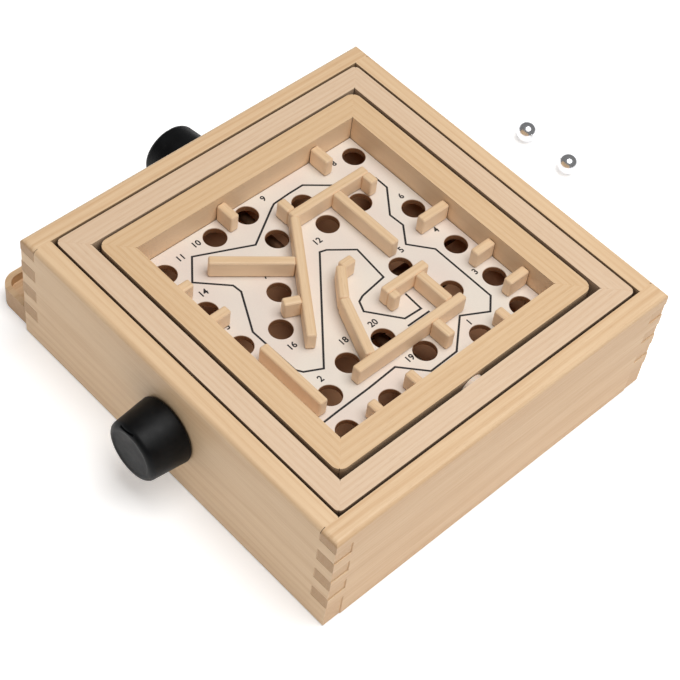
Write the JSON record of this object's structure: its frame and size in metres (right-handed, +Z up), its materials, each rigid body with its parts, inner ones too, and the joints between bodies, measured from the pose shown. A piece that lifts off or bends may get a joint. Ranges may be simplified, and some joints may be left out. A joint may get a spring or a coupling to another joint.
{
  "type": "tilt maze game",
  "caption": "Square wooden case with nested tilting frames, a maze board with drop holes, two side knobs that tilt it by cord, a ball tray and loose steel balls.",
  "frame": {"origin": "centre of the underside of the base panel", "axes": "+Z up, square to the base; -Y towards the front knob, -X towards the left knob and the ball tray"},
  "size_m": [0.2345, 0.3138, 0.066],
  "materials": {
    "case_wood": "satin",
    "ring_wood": "satin",
    "board_wood": "satin",
    "strip_wood": "satin",
    "plywood": "matte",
    "paper": "matte",
    "knob_plastic": "satin",
    "washer": "matte",
    "steel": "satin",
    "ball_steel": "polished",
    "brass": "satin",
    "cord": "matte"
  },
  "bodies": {
    "case": {"case_wall_front": "case_wood", "case_wall_back": "case_wood", "case_wall_left": "case_wood", "case_wall_right": "case_wood", "base_panel": "plywood", "ball_ramp": "plywood", "ramp_support": "case_wood", "ball_tray": "case_wood", "ring_pivot_pin_front": "steel", "ring_pivot_pin_back": "steel"},
    "ring": {"ring_rail_front": "ring_wood", "ring_rail_right": "ring_wood", "ring_rail_back": "ring_wood", "ring_rail_left": "ring_wood", "ring_screw_eye_left": "brass", "ring_screw_eye_right": "brass", "ring_cord_left": "cord", "ring_cord_right": "cord", "ring_cord_spring": "steel", "ring_spacer_front": "washer", "ring_spacer_back": "washer", "board_pivot_pin_left": "steel", "board_pivot_pin_right": "steel"},
    "board": {"board_rail_front": "board_wood", "board_rail_right": "board_wood", "board_rail_back": "board_wood", "board_rail_left": "board_wood", "maze_board": "plywood", "maze_sheet": "paper", "board_screw_eye_front": "brass", "board_screw_eye_back": "brass", "board_cord_front": "cord", "board_cord_back": "cord", "board_cord_spring": "steel", "board_spacer_left": "washer", "board_spacer_right": "washer", "maze_wall_left": "strip_wood", "maze_wall_diagonal": "strip_wood", "maze_wall_right": "strip_wood", "maze_wall_front": "strip_wood", "maze_stub_left_upper": "strip_wood", "maze_stub_left_lower": "strip_wood", "maze_stub_back_left": "strip_wood", "maze_stub_back_middle": "strip_wood", "maze_stub_back_right": "strip_wood", "maze_stub_right_upper": "strip_wood", "maze_stub_right_middle": "strip_wood", "maze_stub_right_lower": "strip_wood", "maze_stub_front_left": "strip_wood", "maze_stub_front_right": "strip_wood"},
    "front_knob": {"knob_front": "knob_plastic", "shaft_front": "steel", "shaft_collar_front": "steel", "cord_winding_front": "cord"},
    "left_knob": {"knob_left": "knob_plastic", "shaft_left": "steel", "shaft_collar_left": "steel", "cord_winding_left": "cord"},
    "ball_one": {"ball_1": "ball_steel"},
    "ball_two": {"ball_2": "ball_steel"}
  },
  "joints": [
    {"name": "ring_tilt", "type": "hinge", "parent": "case", "child": "ring", "pos_m": [0, 0, 0.0585], "axis": [0, 1, 0], "range_deg": [-5, 5], "deforming": ["ring_cord_left", "ring_cord_right", "ring_cord_spring"]},
    {"name": "board_tilt", "type": "hinge", "parent": "ring", "child": "board", "pos_m": [0, 0, 0.0585], "axis": [1, 0, 0], "range_deg": [-5, 5], "deforming": ["board_cord_front", "board_cord_back", "board_cord_spring"]},
    {"name": "front_knob_turn", "type": "hinge", "parent": "case", "child": "front_knob", "pos_m": [0, -0.127, 0.0335], "axis": [0, 1, 0], "range_deg": [-45, 45]},
    {"name": "left_knob_turn", "type": "hinge", "parent": "case", "child": "left_knob", "pos_m": [-0.127, 0, 0.0388], "axis": [1, 0, 0], "range_deg": [-40, 40]},
    {"name": "ball_one_lift", "type": "slide", "parent": "case", "child": "ball_one", "axis": [0, 0, 1], "range_m": [0, 0.06]},
    {"name": "ball_two_lift", "type": "slide", "parent": "case", "child": "ball_two", "axis": [0, 0, 1], "range_m": [0, 0.06]}
  ],
  "couplings": [
    {"joint": "front_knob_turn", "follows": "ring_tilt", "ratio": 8.6},
    {"joint": "left_knob_turn", "follows": "board_tilt", "ratio": 7}
  ]
}
